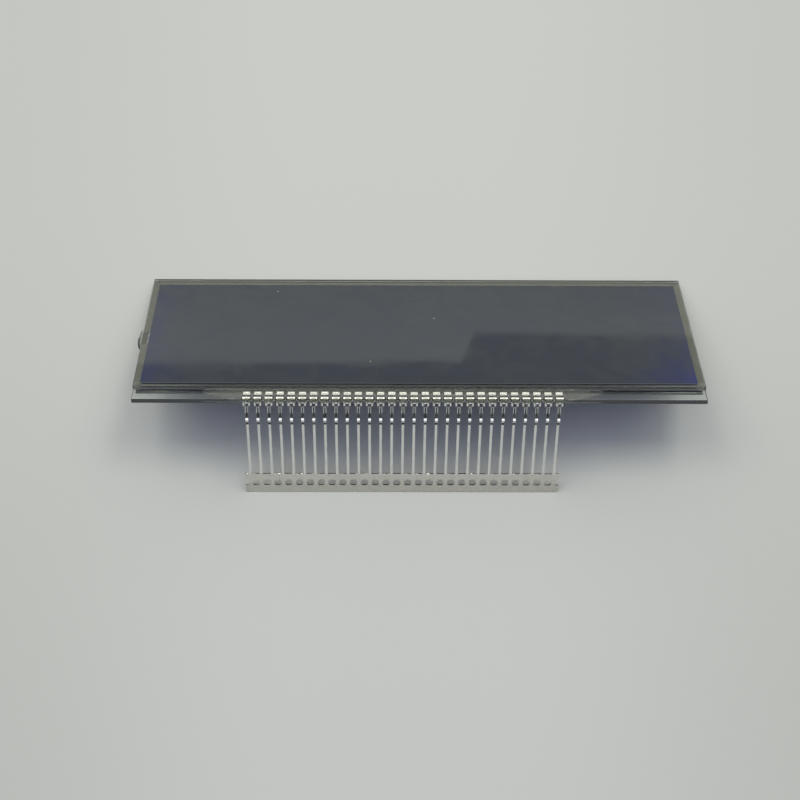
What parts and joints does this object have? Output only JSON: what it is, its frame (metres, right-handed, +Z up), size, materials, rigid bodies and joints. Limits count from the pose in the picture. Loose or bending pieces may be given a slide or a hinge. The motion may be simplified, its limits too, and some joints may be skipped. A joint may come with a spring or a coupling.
{
  "type": "lcd screen",
  "caption": "Wide glass segment LCD with clip-on pins along one contact ledge, their carrier strip still attached, resting tilted on its pins.",
  "frame": {"origin": "middle of the footprint at table level, on the middle of the glass's width", "axes": "+X along the pin row to the right seen from the pin side, +Y from the pins towards the back edge of the glass, +Z up; the screen leans 28 degrees, its viewing side up and its pin side raised"},
  "size_m": [0.1322, 0.056, 0.0244],
  "materials": {
    "float_glass": "clear polished sheet with cut edges",
    "polarizer_film": "smooth dark blue-grey film",
    "seal_epoxy": "cured printed epoxy line",
    "liquid_crystal": "thin clear fluid film",
    "silver_paste": "cured conductive paste",
    "tinned_metal": "bright tin plating on stamped strip",
    "clear_glue": "clear cured resin"
  },
  "bodies": {
    "root": {"front_polarizer": "polarizer_film", "front_glass": "float_glass", "cell_seal": "seal_epoxy", "liquid_crystal": "liquid_crystal", "transfer_dot_left": "silver_paste", "transfer_dot_right": "silver_paste", "end_seal": "clear_glue", "rear_glass": "float_glass", "rear_polarizer": "polarizer_film", "lead_frame": "tinned_metal", "pin_glue": "clear_glue"}
  },
  "joints": []
}
